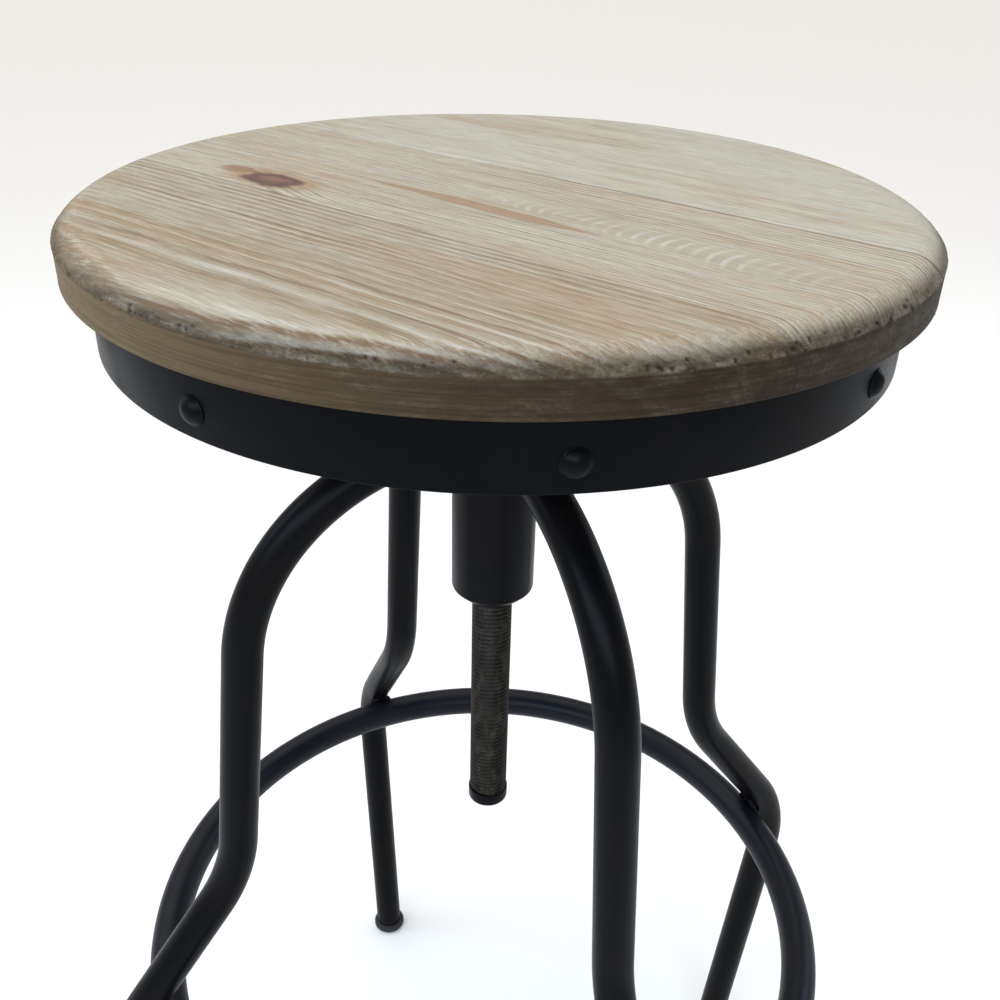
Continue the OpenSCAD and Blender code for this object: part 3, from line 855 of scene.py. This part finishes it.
# a hollow underside and a rounded edge, up to just below the tube's end
GLIDE = [(0.0, 0.0012), (0.0066, 0.0012)] + softened(
    [(0.0076, 0.0), (0.0106, 0.0), (0.0120, 0.0014), (0.0120, 0.0040), (0.0108, 0.00585), (0.0, 0.00585)],
    0.0007, closed=False)
for side, degrees in LEGS.items():
    turn = math.radians(degrees)
    bm = bmesh.new()
    revolve(bm, GLIDE, 56, closed=False,
            place=Matrix.Translation((FOOT_R * math.cos(turn), FOOT_R * math.sin(turn), 0)))
    glide = new_object("glide_" + side, bm, RUBBER)
    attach(glide, "base")
    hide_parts(side + "_glide")


# ---------- what stays as the CAD has it ----------

for node, look in (("seat_backing_disc", WOOD_UNDER), ("seat_flange", BLACK), ("flange_screws", SCREW),
                   ("spindle_collar", BLACK), ("hub_nut_upper", SCREW), ("hub_nut_lower", SCREW)):
    obj = nodes[node]
    obj.data.materials.clear()
    obj.data.materials.append(look)


# ---------- floor, light and camera ----------

bm = bmesh.new()
bmesh.ops.create_grid(bm, x_segments=2, y_segments=2, size=60.0)
FLOOR = Look("pale_floor").finish(rgb(249, 248, 246), 0.9)
floor = new_object("floor", bm, FLOOR, smooth=False)

world = bpy.data.worlds.new("studio")
bpy.context.scene.world = world
world.use_nodes = True
background = world.node_tree.nodes["Background"]
background.inputs["Color"].default_value = (0.97, 0.98, 1.0, 1)
background.inputs["Strength"].default_value = 0.50
bpy.context.scene.view_settings.view_transform = "Standard"

# the lights stand about the seat as the camera sees it
heading = math.radians(109.66)
LIGHTS_AIM = Vector((0, 0, 0.45))
ahead = Vector((math.cos(heading), math.sin(heading), 0))
left = Vector((-math.sin(heading), math.cos(heading), 0))


def softbox(name, place, size, power, colour):
    """A rectangular light that is turned to the stool."""
    light = bpy.data.lights.new(name, "AREA")
    light.shape = "RECTANGLE"
    light.size, light.size_y = size
    light.energy = power
    light.color = colour
    obj = bpy.data.objects.new(name, light)
    bpy.context.scene.collection.objects.link(obj)
    obj.location = place
    obj.rotation_mode = "QUATERNION"
    obj.rotation_quaternion = (LIGHTS_AIM - place).to_track_quat("-Z", "Y")


softbox("front_window", left * 0.45 - ahead * 1.5 + Vector((0, 0, 1.35)), (2.6, 0.6), 30, (0.66, 0.81, 1.0))
softbox("left_window", left * 1.7 + ahead * 0.2 + Vector((0, 0, 1.5)), (0.9, 1.3), 10, (0.66, 0.82, 1.0))
softbox("right_window", -left * 1.8 + ahead * 0.9 + Vector((0, 0, 1.3)), (0.7, 1.3), 8, (0.66, 0.82, 1.0))
sky = bpy.data.objects.new("skylight", bpy.data.lights.new("skylight", "SUN"))
bpy.context.scene.collection.objects.link(sky)
sky.data.energy = 1.5
sky.data.color = (1.0, 0.95, 0.87)
sky.data.angle = math.radians(70)
sky.rotation_mode = "QUATERNION"
sky.rotation_quaternion = (Vector((0, 0, -1)) - left * 0.35 - ahead * 0.35).to_track_quat("-Z", "Y")

# the camera stands 20 degrees to the right of the front and looks down; the rest of its turns are small
CAMERA_AWAY, CAMERA_ABOVE_SEAT = 0.4417, 0.11127
pitch, roll, yaw = math.radians(30.07), math.radians(1.49), math.radians(0.34)
turn = Matrix.Rotation(math.radians(20), 3, "Z")
forward = turn @ Vector((math.sin(yaw) * math.cos(pitch), math.cos(yaw) * math.cos(pitch), -math.sin(pitch)))
level = turn @ Vector((math.cos(yaw), -math.sin(yaw), 0))
above = level.cross(forward)
right = level * math.cos(roll) + above * math.sin(roll)
up = -level * math.sin(roll) + above * math.cos(roll)
place = turn @ Vector((0, -CAMERA_AWAY, 0)) + Vector((0, 0, TOP_Z + CAMERA_ABOVE_SEAT))
camera = bpy.data.objects.new("camera", bpy.data.cameras.new("camera"))
bpy.context.scene.collection.objects.link(camera)
camera.data.sensor_width = 36
camera.data.lens = 39.0
camera.data.clip_start, camera.data.clip_end = 0.02, 50
camera.matrix_world = Matrix.Translation(place) @ Matrix((right, up, -forward)).transposed().to_4x4()
bpy.context.scene.camera = camera
